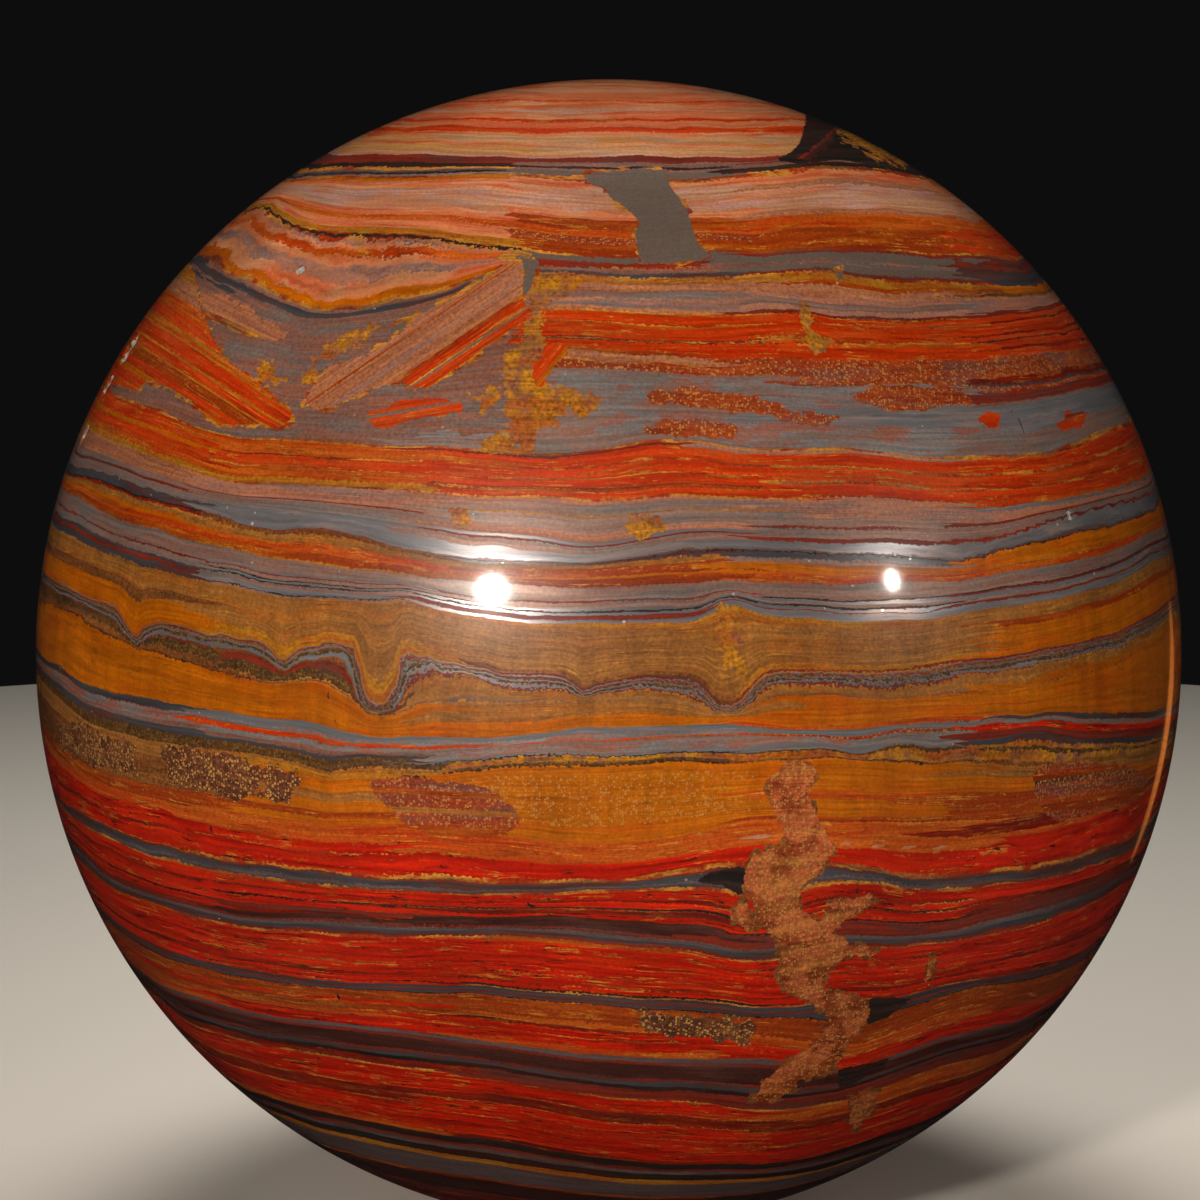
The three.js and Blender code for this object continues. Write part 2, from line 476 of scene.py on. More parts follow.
        "top": """88,868 100,879 120,891 140,899 160,905 200,917 240,926 280,929 340,934 400,936 440,933
            500,934 560,940 600,944 680,948 700,952 740,960 780,957 820,948 860,944 900,945 940,942 960,940
            1000,932 1040,922 1080,908 1110,893 1124,882""",
        "A": "orange 1, deep 22, darkRed 3, deep 8",
        "B": "thread 2, deep 22, thread .7, deep 8, darkRed 2, deep 5, black 1, deep 3",
        "C": "redBrown 4, deep 25, thread .8, deep 6, darkRed 2, deep 4, black 2, thread 1.3",
        "D": "thread 2, deep 10, black 1, deep 8, thread .7, deep 16, darkRed 3, deep 8, thread 1.3",
        "E": "thread 1, deep 24, darkRed 3, deep 12, darkRed 4",
    },
    "steelLine": {
        "top": """108,914 120,925 140,937 160,947 180,953 200,960 240,969 280,975 320,980 360,983 400,984
            480,986 520,989 600,995 640,999 680,1000 720,1002 760,1007 800,1009 830,1003 860,999 900,998
            920,992 940,986 960,982 1000,977 1040,969 1080,955 1098,944""",
        "A": "darkSteel 4, maroon 1.5, darkSteel 3, black 1",
    },
    "copperBed": {
        "top": """114,926 140,946 160,955 180,962 200,968 240,977 280,983 320,987 400,992 480,994 520,998
            600,1005 640,1009 680,1011 720,1015 760,1018 800,1019 840,1022 868,1022 900,1010 920,1004
            940,997 960,991 1000,985 1040,977 1080,962 1094,952""",
        "A": "redBrown 10, deep 4, redBrown 5, orangeRed 8",
        "B": "redBrown 8, deep 3, redBrown 5, thread 1, orangeRed 6, black .6, deep 9",
        "C": "redBrown 15, orangeRed 4, thread 1, darkRed 3, deep 6, thread 1, deep 8, orangeRed 5",
        "D": "redBrown 20, orangeRed 10, thread 1.3, deep 14",
        "E": "redBrown 18, deep 12",
    },
    "purpleBand": {
        "top": """138,968 160,984 180,991 200,997 240,1009 280,1017 320,1021 360,1025 400,1028 440,1034
            480,1040 520,1045 560,1050 600,1055 680,1058 760,1057 800,1064 840,1070 860,1068 880,1061
            900,1053 920,1046 940,1037 980,1030 1020,1020 1048,1006""",
        "A": "lilac 4, maroon 3, purple 12, maroon 2, darkSteel 4, black 4",
    },
    "lowerRed": {
        "top": """155,992 180,1013 200,1022 240,1033 280,1041 320,1048 360,1054 400,1059 440,1064 480,1068
            520,1074 560,1080 600,1086 680,1091 720,1095 760,1099 800,1097 840,1091 880,1078 900,1070
            940,1055 980,1045 1012,1036""",
        "A": "darkRed 4, thread 1.3, deep 14, thread 1, darkRed 8, thread .7, deep 16, orangeRed 5",
        "C": """maroon 8, thread 1.3, deep 10, thread .8, darkRed 8, thread .7, deep 12, thread .7, deep 18,
            darkRed 3""",
        "D": "maroon 8, thread 1.3, orangeRed 10, thread 1, darkRed 6, deep 12, thread .7, deep 14",
    },
    "blackFoot": {
        "top": """248,1090 280,1101 300,1107 340,1115 400,1128 440,1133 480,1138 520,1143 560,1152 600,1158
            640,1162 760,1164 800,1159 840,1150 880,1136""",
        "A": "black 5, maroon 2, lilac 3, black 6",
    },
    "goldThread": {
        "top": """285,1116 320,1128 360,1137 400,1146 440,1153 480,1158 540,1167 580,1172 620,1178 660,1180
            740,1180 780,1177 820,1170 860,1157""",
        "A": "gold 4, lilac 3",
    },
    "underside": {
        "top": """300,1128 360,1144 400,1153 440,1160 480,1165 520,1172 560,1178 600,1183 640,1187 700,1187
            760,1184 800,1177 850,1163""",
        "A": """lilac 1.2, redBrown .3, purple 1.5, maroon .6, darkRed 1.2, gold .15, deep 1.6, black .3,
            deep 1, darkSteel .5, gold .3, goldBrown 1.2""",
    },
}
unitNames = list(beds)
columns = "ABCDE"

# How the traced lines are carried round the ball
bedding = {
    "step": 0.25,  # degrees between the places where a line's height is kept
    "soft": 1.1,  # degrees that a line is smoothed over, where a unit gives no other
    "leastGap": 0.1,  # mm that two lines always stay apart
    "backFrom": 88,  # degrees round from the front where the unseen side's own folds start
    "backFull": 118,
    "poleFrom": 0.15,  # share of the radius, from the upright axis out, where those folds start
    "poleFull": 0.75,
}
# The unseen side's folds: height in mm, waves round the ball, first turn, and turn per mm of height
folds = [(1.7, 3, 0.6, 0), (1.0, 5, 0, 1 / 11), (0.5, 11, 0, 1 / 5)]
# Its faults: half their throw in mm, where they run in degrees round, at what height, and degrees per mm
faults = [(0.7, 128, 50, 0.25), (-0.9, -142, 40, -0.35)]
faultWidth = 0.5  # degrees
raised = 0.2  # mm that evens out both
longitudes = np.arange(-180, 180, bedding["step"])


def smoothStep(value, start, end):
    share = np.clip((value - start) / (end - start), 0, 1)
    return share * share * (3 - 2 * share)


# A line's height in mm at each kept longitude. The unseen side joins its two ends.
def lineHeights(unit):
    directions = fromPhoto(pixelList(unit["top"]))
    around = np.degrees(np.arctan2(directions[:, 0], -directions[:, 1]))
    height = centreHeight + radius * directions[:, 2]
    order = np.argsort(around)
    heights = np.interp(longitudes, around[order], height[order], period=360)
    waves = np.arange(len(longitudes) // 2 + 1) * 2 * math.pi / len(longitudes)
    spread = unit.get("soft", bedding["soft"]) / bedding["step"]
    return np.fft.irfft(np.fft.rfft(heights) * np.exp(-((waves * spread) ** 2) / 2), len(longitudes))


# All the lines as rows from the ball's top to its foot, kept in order
def allLines():
    top = np.full(len(longitudes), centreHeight + radius)
    rows = [top] + [lineHeights(unit) for unit in list(beds.values())[1:]] + [0 * top]
    for k in range(1, len(rows)):
        lowest = bedding["leastGap"] * (len(rows) - 1 - k)
        rows[k] = np.maximum(np.minimum(rows[k], rows[k - 1] - bedding["leastGap"]), lowest)
    return np.array(rows)


lines = allLines()
# Where the units start, in mm down from the top along the middle of the front
unitDepths = lines[0, 0] - lines[:, len(longitudes) // 2]


# The unseen side is folded a little, and thrown by two small faults, so it isn't a copy of the front
def foldedHeight(around, height, reach):
    turn = np.radians(around)
    moved = np.full(len(height), raised)
    for size, waves, first, perMm in folds:
        moved += size * np.sin(waves * turn + first + height * perMm)
    for throw, at, level, lean in faults:
        moved += throw * np.tanh((around - at - (height - level) * lean) / faultWidth)
    share = smoothStep(np.abs(around), bedding["backFrom"], bedding["backFull"])
    return height + moved * share * reach


# Depth in the pile of beds of each outward direction
def beddingDepth(directions):
    around = np.degrees(np.arctan2(directions[:, 0], -directions[:, 1]))
    outward = np.hypot(directions[:, 0], directions[:, 1])
    reach = smoothStep(outward, bedding["poleFrom"], bedding["poleFull"])
    height = foldedHeight(around, centreHeight + radius * directions[:, 2], reach)
    height = np.clip(height, 0, centreHeight + radius)
    place = (around + 180) / bedding["step"]
    left = np.floor(place).astype(int) % len(longitudes)
    right = (left + 1) % len(longitudes)
    share = place - np.floor(place)
    depth = np.zeros(len(directions))
    upper = lines[0, left] * (1 - share) + lines[0, right] * share
    for k in range(1, len(lines)):
        lower = lines[k, left] * (1 - share) + lines[k, right] * share
        part = np.clip((upper - height) / (upper - lower), 0, 1)
        depth += part * (unitDepths[k] - unitDepths[k - 1])
        upper = lower
    return depth


# Where each column turns into the next: the pixel across, and over how many pixels. B turns into C sooner
# below the broken blocks than beside them.
columnTurns = {
    "blocksDownTo": 430,  # pixels
    "high": [(200, 150), (515, 60), (750, 200), (960, 180)],
    "low": [(200, 150), (430, 260), (750, 200), (960, 180)],
}
# And on the unseen side: degrees round, and the column's number
columnsBehind = {
    "around": [-170, -140, -110, -85, -60, 50, 90, 120, 145, 165],
    "number": [1, 3, 2, 1, 0, 4, 4, 3, 2, 2],
    "from": 70,  # degrees round where these take over
    "full": 85,
}


# The column, 0 to 4 for A to E, that each place belongs to
def columnNumbers(directions, pixels):
    x, y = pixels[:, 0], pixels[:, 1]
    high, low = [
        sum(np.clip((x - middle) / width + 0.5, 0, 1) for middle, width in columnTurns[level])
        for level in ("high", "low")
    ]
    number = np.where(y < columnTurns["blocksDownTo"], high, low)
    around = np.degrees(np.arctan2(directions[:, 0], -directions[:, 1]))
    behind = np.interp(around, columnsBehind["around"], columnsBehind["number"], period=360)
    share = smoothStep(np.abs(around), columnsBehind["from"], columnsBehind["full"])
    return number * (1 - share) + behind * share


# Pixels from each point to a closed outline, positive inside, or to an open line, where all are negative
def edgeDistance(points, outline, closed=True):
    x, y = points[:, 0], points[:, 1]
    nearest = np.full(len(points), 1e6)
    inside = np.zeros(len(points), bool)
    ends = np.roll(outline, -1, axis=0)
    for (ax, ay), (bx, by) in list(zip(outline, ends))[: len(outline) if closed else -1]:
        dx, dy = bx - ax, by - ay
        share = np.clip(((x - ax) * dx + (y - ay) * dy) / max(dx * dx + dy * dy, 1e-9), 0, 1)
        nearest = np.minimum(nearest, np.hypot(x - ax - share * dx, y - ay - share * dy))
        slope = dx / dy if dy else 0
        inside ^= ((ay > y) != (by > y)) & (x < ax + slope * (y - ay)) & closed
    return np.where(inside, nearest, -nearest)


# What lies across the beds, as outlines in the photograph's pixels. "back" gives the unseen side's own, in
# the pixels of the ball turned half round.
crossing = {
    "hematite": {
        "front": [
            """575,176 605,173 640,168 666,170 668,183 681,200 689,215 694,235 702,249 716,255 690,262
            640,264 637,246 634,234 640,222 626,209 613,200 604,188""",
            "500,258 520,255 540,262 535,272 530,290 520,300 524,275 520,262 508,262",
            "390,330 405,320 425,318 445,303 470,292 455,300 430,318 415,335 395,342",
            "836,268 843,268 842,282 838,282",
        ],
        "back": ["360,210 395,214 410,240 420,262 405,268 392,250 375,232 362,222"],
    },
    "dark": {
        "front": [
            """799,100 806,118 800,142 790,153 772,160 800,164 840,160 880,167 930,178 975,200 975,150
            900,100 830,80""",
            "746,864 746,898 735,893 724,886 690,880 710,872 730,868",
            "866,998 866,1024 885,1019 900,1008 918,1000 900,998",
            "836,1070 866,1064 890,1058 885,1068 860,1080 840,1090",
        ],
        "back": ["700,990 720,996 726,1030 712,1040 704,1015"],
    },
    "gold": {
        "front": [
            """530,273 560,272 590,284 565,296 552,300 546,310 546,335 552,345 545,365 548,385 562,398
            570,412 556,424 542,432 536,446 520,450 512,440 504,415 506,395 500,375 508,352 522,335
            528,315 525,295""",
            "556,386 578,392 600,398 596,410 580,418 566,406",
            "470,395 490,385 505,390 498,404 482,410",
            "500,430 520,436 515,452 496,456 480,448",
            "262,360 270,362 275,372 285,380 270,382 255,380 250,375 258,370",
            """300,383 305,375 312,362 330,345 345,335 365,325 375,325 372,335 355,350 335,355 318,362
            315,378 308,385""",
            "714,612 722,602 738,604 742,625 742,660 748,685 735,690 728,670 722,640",
            """800,303 812,306 812,330 822,335 828,345 822,358 812,356 808,335 800,328""",
            "627,524 632,514 645,510 660,514 665,526 655,536 638,538",
            "450,510 462,508 475,514 470,524 455,525",
            "832,125 845,128 872,141 908,162 903,169 868,153 842,139",
        ],
        "back": [
            "820,300 850,290 880,300 890,340 870,380 885,420 860,450 830,440 815,400 825,350",
            "300,520 318,508 340,514 345,530 325,540 305,536",
        ],
    },
    "speckled": {
        "front": [
            "55,722 75,722 100,732 135,742 138,775 120,772 95,765 70,752 55,742",
            """160,742 200,750 240,757 262,765 265,775 262,800 240,800 215,795 190,788 165,780""",
            "268,762 298,768 300,790 285,805 266,800",
            "640,1012 700,1018 755,1022 750,1044 700,1040 645,1034",
        ],
        "back": [
            "650,770 720,765 790,772 800,800 760,830 690,835 640,810",
            "260,760 330,752 380,765 372,800 300,815 255,795",
        ],
    },
    "copper": {
        "front": [
            """785,762 812,762 815,770 812,785 812,800 815,815 825,830 832,845 832,852 825,860 822,870
            805,885 800,900 805,915 830,930 845,940 850,950 835,965 820,980 825,990 868,1000 870,1010
            865,1020 858,1030 850,1040 845,1050 840,1060 830,1070 800,1080 790,1090 775,1100 750,1100
            758,1090 768,1080 775,1070 788,1060 805,1050 818,1040 825,1030 828,1020 825,1010 800,1000
            783,990 778,980 780,965 783,950 775,940 765,930 758,915 750,900 745,885 746,870 748,860
            755,852 783,845 785,830 775,815 770,800 768,785 778,770""",
            "865,1090 878,1092 875,1105 865,1120 855,1130 848,1128 852,1110 848,1095",
            "828,903 848,898 868,893 877,900 866,908 850,914 840,926 832,934 822,925",
            "842,946 862,944 880,950 872,955 852,956 838,960",
            "752,900 740,904 728,914 740,926 752,934",
            "926,952 935,952 936,962 931,972 931,985 927,985 928,968",
        ],
        "back": [
            """455,420 490,420 500,440 505,470 510,500 512,530 530,560 520,590 505,620 500,650 485,680
            495,710 500,740 490,770 470,770 465,740 450,710 440,680 448,650 455,620 470,590 478,560
            470,530 455,500 462,470 450,440""",
        ],
    },
}

# Cracks and healed fractures: the line and its half width in pixels
cracks = {
    "front": [
        ("213,819 211,828 213,834", 1.5),
        ("512,895 525,903 540,909 552,915 563,923", 1.6),
        ("545,897 552,903 560,901", 1.4),
        ("1012,410 1018,420 1024,436", 1.5),
        ("327,690 331,704 333,716 335,725", 1.5),
        ("338,985 340,992 339,1000", 2.5),
        ("856,880 857,893", 1.4),
        ("930,954 931,958", 2.4),
    ],
    "back": [
        ("640,560 648,575 646,592 655,610", 1.5),
        ("300,900 322,908 340,905 361,914", 1.6),
    ],
}
seams = {
    "front": [
        # this first seam is painted pale partly as a healed fracture and partly as a painted reflection of a
        # faint bluish glint
        ("905,725 897,742 888,760 880,775", 1.3),
        ("840,843 880,846 920,848 960,847", 1.8),
        ("740,840 765,836 790,830", 2.2),
    ],
    "back": [
        ("560,300 556,340 548,380 545,420", 1.3),
    ],
}

# Broken pieces of older beds that lie across the rest, each with its own bedding. "angle" tips it clockwise,
# "through" is a pixel on its zero line, and its beds are in pixels from "start" down. "rim" gives it a broken
# golden rim, "back" lays it on the unseen side, and "like" takes another's beds.
fragments = {
    "lowerLeftBlock": {
        "rim": True,
        "angle": 33,
        "through": (250, 378),
        "start": -60,
        "outline": """170,255 188,265 196,280 197,300 205,320 215,340 225,360 250,378 270,392 285,405
            292,418 280,428 262,424 240,425 220,425 205,415 190,400 165,385 150,380 135,390 120,385
            105,385 80,380 100,330 140,280""",
        "beds": """gold 12, pinkBrown 18, orangeRed 14, red 12, gold 3, orangeRed 5, gold 2, red 14,
            gold 2, red 9, gold 2, redBrown 10, red 10, orange 6, red 12, orangeRed 12, redBrown 15""",
    },
    "stripedSlab": {
        "rim": True,
        "angle": -34,
        "through": (330, 368),
        "start": -5,
        "outline": """330,366 360,357 385,345 400,334 420,314 445,303 470,288 490,274 510,261 521,262
            524,275 521,295 528,308 528,318 507,332 487,345 467,362 447,375 427,388 412,388 405,380
            385,385 365,392 340,402 320,411 303,405 310,392 320,378""",
        "beds": """pinkBrown 20, redBrown 2, pinkBrown 14, mauvePink 3, pinkBrown 12, thread 2.5,
            red 9, thread 2, matrix 1.5, red 9, gold 3, matrix 10""",
    },
    "pinkLens": {
        "angle": 25,
        "through": (225, 298),
        "start": -4,
        "outline": """197,285 205,291 225,297 245,305 262,317 280,328 291,336 275,341 262,336 245,336
            225,331 208,325 200,305""",
        "beds": "pinkBrown 22, thread 8, matrix 20",
    },
    "flatStripes": {
        "angle": -10,
        "through": (400, 403),
        "start": -2,
        "outline": "370,412 400,403 440,398 462,402 460,410 440,416 410,420 380,430 370,428",
        "beds": "red 8, matrix 4, red 9, gold 1.5",
    },
    "orangeWedge": {
        "angle": -50,
        "through": (550, 365),
        "start": -40,
        "outline": "540,342 568,345 571,352 558,362 549,376 542,389 532,381 536,365 546,352",
        "beds": "red 40, orange 4, red 36",
    },
    "domeEnd": {
        "angle": -40,
        "through": (815, 145),
        "start": -12,
        "outline": "796,158 810,150 826,136 833,122 839,124 833,140 820,153 806,161",
        "beds": "purple 10, maroon 4, purple 20",
    },
    "speckledLens": {
        "angle": 3,
        "through": (440, 785),
        "start": -8,
        "outline": """370,782 400,777 440,780 480,786 500,795 512,806 524,822 506,836 440,836 410,828 392,810
            376,796""",
        "beds": "redSpeck 14, redBrown 4, redSpeck 12, goldBrown 5, redSpeck 14, redBrown 10",
    },
    "speckledEnd": {
        "angle": -8,
        "through": (1090, 765),
        "start": -10,
        "outline": "1032,772 1050,764 1080,762 1125,765 1148,776 1140,800 1100,812 1060,822 1040,812",
        "beds": "redSpeck 12, redBrown 6, speckled 5, redSpeck 16, redBrown 12, redSpeck 20",
    },
    "netIslandRight": {
        "angle": 4,
        "through": (900, 400),
        "start": -16,
        "outline": "850,394 880,385 930,388 975,393 972,403 930,410 890,412 868,404",
        "beds": "redSpeck 40",
    },
    "netIslandMiddle": {
        "angle": 8,
        "through": (740, 405),
        "start": -18,
        "outline": "640,394 690,387 735,394 770,401 800,411 842,417 843,424 800,424 760,414 700,406 650,403",
        "like": "netIslandRight",
    },
    "netIslandLeft": {
        "angle": 2,
        "through": (690, 428),
        "start": -14,
        "outline": "640,424 690,419 740,425 738,437 690,437 645,434",
        "like": "netIslandRight",
    },
    "islandLeft": {
        "angle": 0,
        "through": (990, 418),
        "start": -10,
        "outline": "978,418 986,413 996,412 1003,417 998,424 984,425",
        "beds": "red 20",
    },
    "islandRight": {
        "angle": -15,
        "through": (1075, 420),
        "start": -16,
        "outline": "1058,424 1066,413 1078,412 1088,416 1082,426 1070,430 1060,430",
        "beds": "red 8, maroon 3, red 20",
    },
    "backSlab": {
        "rim": True,
        "back": True,
        "angle": 25,
        "through": (600, 285),
        "start": -30,
        "outline": "560,250 640,262 700,300 760,330 740,372 680,350 610,322 540,300",
        "like": "stripedSlab",
    },
    "backWedge": {
        "back": True,
        "angle": -28,
        "through": (400, 560),
        "start": -24,
        "outline": "352,584 380,560 420,542 450,530 462,545 440,566 400,584 366,600",
        "like": "pinkLens",
    },
}

# Damage from knocks: the pixel, and the width and depth in mm
chips = {
    "limbHigh": (129, 349, 3.0, 0.22),
    "limbMiddle": (108, 384, 2.2, 0.18),
    "limbLow": (85, 433, 1.8, 0.15),
    "whitePit": (1070, 515, 0.9, 0.25),
    "domeChip": (300, 270, 1.0, 0.12),
}
chipShape = {
    "ragged": 0.35,  # how far its rim swings
    "steep": 2,  # how soon it is at full depth
    "reach": 0.9,  # what is cut finer around it, as a share of its width
    "cuts": 3,
    "crushedAndGlint": 0.4,  # what is painted pale, partly crushed stone and partly a painted glint, as a share of its width
}


# One attribute for a kind of crossing body, in mm inside its edge
def crossingDistance(kind, frontPixels, backPixels):
    found = np.full(len(frontPixels), -1e3)
    for side, pixels in (("front", frontPixels), ("back", backPixels)):
        for outline in crossing[kind][side]:
            found = np.maximum(found, edgeDistance(pixels, pixelList(outline)))
    return np.clip(found / pixelsPerMm, -4, 4)


# The same for thin lines, each with its half width in pixels
def crackDistance(kind, frontPixels, backPixels):
    found = np.full(len(frontPixels), -1e3)
    for side, pixels in (("front", frontPixels), ("back", backPixels)):
        for line, halfWidth in kind[side]:
            found = np.maximum(found, halfWidth + edgeDistance(pixels, pixelList(line), closed=False))
    return np.clip(found / pixelsPerMm, -4, 4)


# In mm inside the nearest chip's rim; that middle is painted pale, partly as crushed stone and partly as a
# painted glint
def chipDistance(directions):
    found = np.full(len(directions), -4.0)
    for x, y, width, _ in chips.values():
        away = np.linalg.norm(directions - fromPhoto([x, y])[0], axis=1) * radius
        found = np.maximum(found, width * chipShape["crushedAndGlint"] - away)
    return found


# Where each fragment's own beds lie on the scale that its group shares, in mm
def fragmentScale(rimmed):
    scale, start = {}, 0.0
    for name, fragment in fragments.items():
        if fragment.get("rim", False) == rimmed and "beds" in fragment:
            thickness = sum(share for _, share in bedList(fragment["beds"])) / pixelsPerMm
            scale[name] = (start, start + thickness)
            start += thickness
    return scale


# For one group of fragments: mm inside the nearest edge, and the place on the group's scale
def fragmentFields(rimmed, frontPixels, backPixels):
    scale = fragmentScale(rimmed)
    inside = np.full(len(frontPixels), -4.0)
    place = np.zeros(len(frontPixels))
    for name, fragment in fragments.items():
        if fragment.get("rim", False) != rimmed:
            continue
        pixels = backPixels if fragment.get("back") else frontPixels
        edge = edgeDistance(pixels, pixelList(fragment["outline"])) / pixelsPerMm
        tip = math.radians(fragment["angle"])
        down = (pixels - np.array(fragment["through"])) @ np.array([-math.sin(tip), math.cos(tip)])
        start, end = scale[fragment.get("like", name)]
        here = start + np.clip((down - fragment["start"]) / pixelsPerMm, 0.01, end - start - 0.01)
        place = np.where(edge > inside, here, place)
        inside = np.maximum(inside, edge)
    return inside, place


# A cube cut into a grid and blown up into the ball, so that its cells are about alike all over
def blownCube():
    bm = bmesh.new()
    bmesh.ops.create_cube(bm, size=2)
    bmesh.ops.subdivide_edges(bm, edges=bm.edges, cuts=ball["cells"] - 1, use_grid_fill=True)
    for vert in bm.verts:
        evened = Vector([math.tan(side * math.pi / 4) for side in vert.co])
        vert.co = Vector(centre * mm) + evened.normalized() * radius * mm
    return bm


# Each knock took off a shallow flake with a ragged rim
def cutChips(bm):
    middle = Vector(centre * mm)
    for number, (x, y, width, depth) in enumerate(chips.values()):
        outward = Vector(fromPhoto([x, y])[0])
        place = middle + outward * radius * mm
        reach = width * mm * chipShape["reach"]
        near = [face for face in bm.faces if (face.calc_center_median() - place).length < reach]
        edges = list({edge for face in near for edge in face.edges})
        bmesh.ops.subdivide_edges(bm, edges=edges, cuts=chipShape["cuts"], use_grid_fill=True)
        side = outward.orthogonal().normalized()
        up = outward.cross(side)
        for vert in bm.verts:
            away = vert.co - place
            if away.length > reach:
                continue
            vert.co = middle + (vert.co - middle).normalized() * radius * mm
            angle = math.atan2(away.dot(up), away.dot(side))
            swing = math.sin(2 * angle + number) * math.sin(5 * angle + 2 * number)
            ragged = 1 + chipShape["ragged"] * swing
            hollow = max(0.0, 1 - (away.length / (width * mm / 2 * ragged)) ** 2)
            vert.co -= outward * depth * mm * min(1.0, chipShape["steep"] * hollow)


# The tiny flat that the ball stands on
def cutFlat(bm):
    whole = bm.verts[:] + bm.edges[:] + bm.faces[:]
    cut = bmesh.ops.bisect_plane(
        bm, geom=whole, dist=1e-7, plane_co=(0, 0, 0), plane_no=(0, 0, 1), clear_inner=True
    )
    rim = [item for item in cut["geom_cut"] if isinstance(item, bmesh.types.BMEdge)]
    bmesh.ops.holes_fill(bm, edges=rim, sides=0)
    for edge in rim:
        edge.smooth = False


# Six charts, one for each side of the cube, in three columns and two rows
def chartUv(mesh):
    corners = np.zeros(len(mesh.loops), int)
    mesh.loops.foreach_get("vertex_index", corners)
    places = np.zeros(len(mesh.vertices) * 3)
    mesh.vertices.foreach_get("co", places)
    outward = places.reshape(-1, 3) / mm - centre
    starts = np.zeros(len(mesh.polygons), int)
    counts = np.zeros(len(mesh.polygons), int)
    mesh.polygons.foreach_get("loop_start", starts)
    mesh.polygons.foreach_get("loop_total", counts)
    face = np.repeat(np.arange(len(starts)), counts)
    sums = np.zeros((len(starts), 3))
    np.add.at(sums, face, outward[corners])
    axis = np.argmax(np.abs(sums), axis=1)
    facing = np.sign(sums[np.arange(len(sums)), axis])
    here = outward[corners]
    along = here[np.arange(len(here)), axis[face]]
    others = np.array([[1, 2], [0, 2], [0, 1]])[axis[face]]
    u = np.arctan(here[np.arange(len(here)), others[:, 0]] / along) / (math.pi / 4)
    v = np.arctan(here[np.arange(len(here)), others[:, 1]] / along) / (math.pi / 4)
    margin = 0.985
    column = axis[face]
    row = np.where(facing[face] > 0, 1, 0)
    uv = np.stack([(column + 0.5 + u * margin / 2) / 3, (row + 0.5 + v * margin / 2) / 2], 1)
    mesh.uv_layers.new(name="OFBake").data.foreach_set("uv", uv.ravel())


# Writes the beds and everything across them onto the mesh's points
def markStone(mesh):
    places = np.zeros(len(mesh.vertices) * 3)
    mesh.vertices.foreach_get("co", places)
    directions = places.reshape(-1, 3) / mm - centre
    directions /= np.linalg.norm(directions, axis=1, keepdims=True)
    frontPixels = onPhoto(directions)
    backPixels = onPhoto(directions * np.array([-1, -1, 1]))
    fields = {
        "depth": beddingDepth(directions),
        "column": columnNumbers(directions, frontPixels),
        "cracked": crackDistance(cracks, frontPixels, backPixels),
        "healed": crackDistance(seams, frontPixels, backPixels),
        "chipped": chipDistance(directions),
    }
    for kind in crossing:
        fields[kind] = crossingDistance(kind, frontPixels, backPixels)
    fields["slab"], fields["slabDepth"] = fragmentFields(True, frontPixels, backPixels)
    fields["flake"], fields["flakeDepth"] = fragmentFields(False, frontPixels, backPixels)
    for name, values in fields.items():
        attribute = mesh.attributes.new(name, "FLOAT", "POINT")
        attribute.data.foreach_set("value", values.astype(np.float32))


def makeBall():
    bm = blownCube()
    cutChips(bm)
    cutFlat(bm)
    mesh = bpy.data.meshes.new("polishedBall")
    bm.to_mesh(mesh)
    bm.free()
    mesh.shade_smooth()
    piece = bpy.data.objects.new("polishedBall", mesh)
    bpy.context.scene.collection.objects.link(piece)
    chartUv(mesh)
    markStone(mesh)
    return piece


# A colour written as in a paint program, turned into the linear light that the nodes work in
def linear(hexColour):
    parts = [int(hexColour[i : i + 2], 16) / 255 for i in (1, 3, 5)]
    return (*[p / 12.92 if p <= 0.04045 else ((p + 0.055) / 1.055) ** 2.4 for p in parts], 1)


# Adds one node with its settings, and links or sets its inputs
def add(tree, kind, inputs=None, output=0, stops=None, blend="LINEAR", **settings):
    node = tree.nodes.new("ShaderNode" + kind)
    for name, value in settings.items():
        setattr(node, name, value)
    for key, value in (inputs or {}).items():
        if isinstance(value, bpy.types.NodeSocket):
            tree.links.new(value, node.inputs[key])
        else:
            node.inputs[key].default_value = value
    if stops:
        ramp = node.color_ramp
        ramp.interpolation = blend
        ramp.elements.remove(ramp.elements[1])
        ramp.elements[0].position, ramp.elements[0].color = stops[0]
        for place, colour in stops[1:]:
            ramp.elements.new(place).color = colour
    return node.outputs[output] if node.outputs else node


def grey(value):
    return (value, value, value, 1)


# A unit's beds in one column; a column that isn't given is like the one before it
def unitBeds(unit, column):
    given = [letter for letter in columns[: columns.index(column) + 1] if letter in unit]
    return bedList(unit[given[-1]])


mostSteps = 31  # beds on one colour ramp, which holds 32 steps


# Runs of units whose beds fit on one colour ramp in every column
def unitRuns():
    runs, first, counts = [], 0, [0] * len(columns)
    for number, unit in enumerate(beds.values()):
        more = [len(unitBeds(unit, column)) for column in columns]
        if max(c + m for c, m in zip(counts, more)) > mostSteps:
            runs.append((first, number))
            first, counts = number, [0] * len(columns)
        counts = [c + m for c, m in zip(counts, more)]
    return runs + [(first, len(beds))]


# One column's beds in a run of units, as the steps of a colour ramp that holds their minerals' codes
def columnSteps(column, first, last):
    start, end = unitDepths[first], unitDepths[last]
    steps = []
    for number in range(first, last):
        logged = unitBeds(beds[unitNames[number]], column)
        whole = sum(share for _, share in logged)
        depth = unitDepths[number]
        for name, share in logged:
            steps.append(((depth - start) / (end - start), grey(mineralCode(name))))
            depth += share / whole * (unitDepths[number + 1] - unitDepths[number])
    return steps


